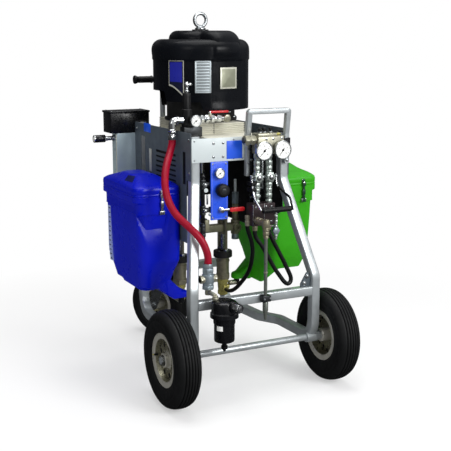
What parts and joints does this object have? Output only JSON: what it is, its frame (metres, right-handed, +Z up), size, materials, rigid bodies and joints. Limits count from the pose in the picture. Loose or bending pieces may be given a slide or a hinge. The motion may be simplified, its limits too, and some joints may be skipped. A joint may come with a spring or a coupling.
{
  "type": "airless paint sprayer",
  "caption": "Two-component airless paint sprayer: air motor over twin pumps, mixing manifold and two hoppers on a wheeled tube frame.",
  "frame": {"origin": "on the floor, at the middle of the whole cart's length and width", "axes": "+X towards the green hopper (the right-hand side seen from the front), +Y towards the push handle and caster at the back, +Z up"},
  "size_m": [0.712, 1.0383, 1.296],
  "materials": {
    "frame_paint": "light silver-grey enamel, satin",
    "black_plastic": "matte black plastic",
    "zinc": "zinc plated, semi-bright",
    "tyre": "worn black rubber",
    "rim_metal": "off-white enamel",
    "slate": "slate-grey powder coat",
    "white_panel": "white enamel",
    "cream": "pale cream enamel",
    "cast_iron": "dark cast metal",
    "motor_black": "satin black moulding",
    "aluminium": "bare, satin",
    "nickel": "nickel plated",
    "brass": "machined brass",
    "blue_panel": "bright blue enamel",
    "red_plastic": "red vinyl sleeve",
    "red_rubber": "crimson rubber hose",
    "black_rubber": "black rubber hose",
    "gauge_white": "white dials in steel cases",
    "filter_black": "black enamel",
    "hopper_blue": "deep blue moulded plastic",
    "hopper_green": "bright green moulded plastic"
  },
  "bodies": {
    "cart": {"side_frame_left": "frame_paint", "side_frame_right": "frame_paint", "front_cross_tubes": "frame_paint", "rear_frame": "frame_paint", "axle_bushes": "frame_paint", "tube_plugs": "black_plastic", "handle_grips": "black_plastic", "heater_box": "black_plastic", "eye_washer": "black_plastic", "wheel_axle": "zinc", "caster_plate": "zinc", "gate_handle": "zinc", "rear_handle": "zinc", "tie_rods": "zinc", "lifting_eye": "zinc", "side_panels": "slate", "fluid_heater": "slate", "front_panel": "white_panel", "tie_plate": "cream", "motor_base": "cast_iron", "pump_cylinders": "cast_iron", "valve_block": "cast_iron", "panel_piping": "cast_iron", "motor_cover": "motor_black", "exhaust_grille": "aluminium", "pump_heads": "aluminium", "air_valve": "nickel", "mix_manifold": "nickel", "fluid_valves": "nickel", "air_tee": "nickel", "static_mixer": "nickel", "brass_fittings": "brass", "control_panel": "blue_panel", "red_hose": "red_rubber", "black_hoses": "black_rubber", "pressure_gauges": "gauge_white", "air_filter_head": "filter_black", "air_filter_bowl": "filter_black", "air_regulator": "filter_black", "manifold_plate": "filter_black", "hopper_left": "hopper_blue", "hopper_right": "hopper_green"},
    "wheel_left": {"tyre_left": "tyre", "rim_left": "rim_metal"},
    "wheel_right": {"tyre_right": "tyre", "rim_right": "rim_metal"},
    "caster_swivel": {"caster_fork": "zinc"},
    "caster_wheel": {"caster_tyre": "tyre", "caster_rim": "rim_metal"},
    "lid_left": {"lid_left": "hopper_blue"},
    "lid_right": {"lid_right": "hopper_green"},
    "latch_left": {"latch_left": "zinc"},
    "latch_right": {"latch_right": "motor_black"},
    "pump_drive": {"drive_yoke": "zinc"},
    "regulator_knob": {"regulator_knob": "black_plastic"},
    "regulator_screw": {"regulator_screw": "zinc"},
    "panel_valve_lever": {"panel_valve_lever": "red_plastic"},
    "air_valve_lever": {"air_valve_lever": "red_plastic"},
    "mixing_lever": {"mix_lever": "nickel", "lever_grip": "black_plastic"}
  },
  "joints": [
    {"name": "wheel_left_spin", "type": "hinge", "parent": "cart", "child": "wheel_left", "pos_m": [-0.304, -0.35425, 0.165], "axis": [1, 0, 0], "continuous": true},
    {"name": "wheel_right_spin", "type": "hinge", "parent": "cart", "child": "wheel_right", "pos_m": [0.304, -0.35425, 0.165], "axis": [1, 0, 0], "continuous": true},
    {"name": "caster_turn", "type": "hinge", "parent": "cart", "child": "caster_swivel", "pos_m": [0, 0.35075, 0.285], "axis": [0, 0, 1], "continuous": true},
    {"name": "caster_spin", "type": "hinge", "parent": "caster_swivel", "child": "caster_wheel", "pos_m": [-0.0275, 0.39838, 0.13], "axis": [0.866, 0.5, 0], "continuous": true},
    {"name": "lid_left_hinge", "type": "hinge", "parent": "cart", "child": "lid_left", "pos_m": [-0.266, 0.15575, 0.681], "axis": [-1, 0, 0], "range_deg": [0, 80]},
    {"name": "lid_right_hinge", "type": "hinge", "parent": "cart", "child": "lid_right", "pos_m": [0.266, 0.15575, 0.681], "axis": [-1, 0, 0], "range_deg": [0, 80]},
    {"name": "latch_left_swing", "type": "hinge", "parent": "cart", "child": "latch_left", "pos_m": [-0.262, -0.19025, 0.625], "axis": [1, 0, 0], "range_deg": [0, 90]},
    {"name": "latch_right_swing", "type": "hinge", "parent": "cart", "child": "latch_right", "pos_m": [0.296, -0.19025, 0.625], "axis": [1, 0, 0], "range_deg": [0, 90]},
    {"name": "pump_stroke", "type": "slide", "parent": "cart", "child": "pump_drive", "axis": [0, 0, 1], "range_m": [-0.06, 0.06]},
    {"name": "regulator_knob_turn", "type": "hinge", "parent": "cart", "child": "regulator_knob", "pos_m": [-0.081, -0.28425, 0.702], "axis": [0, -1, 0], "continuous": true},
    {"name": "regulator_screw_turn", "type": "hinge", "parent": "cart", "child": "regulator_screw", "pos_m": [-0.152, -0.15425, 1], "axis": [0, 0, 1], "continuous": true},
    {"name": "panel_valve_turn", "type": "hinge", "parent": "cart", "child": "panel_valve_lever", "pos_m": [-0.081, -0.28425, 0.634], "axis": [0, 1, 0], "range_deg": [0, 90]},
    {"name": "air_valve_turn", "type": "hinge", "parent": "cart", "child": "air_valve_lever", "pos_m": [-0.064, -0.15425, 0.953], "axis": [0, 0, -1], "range_deg": [0, 90]},
    {"name": "mixing_lever_turn", "type": "hinge", "parent": "cart", "child": "mixing_lever", "pos_m": [0.06, -0.30975, 0.742], "axis": [-1, 0, 0], "range_deg": [0, 90]}
  ]
}
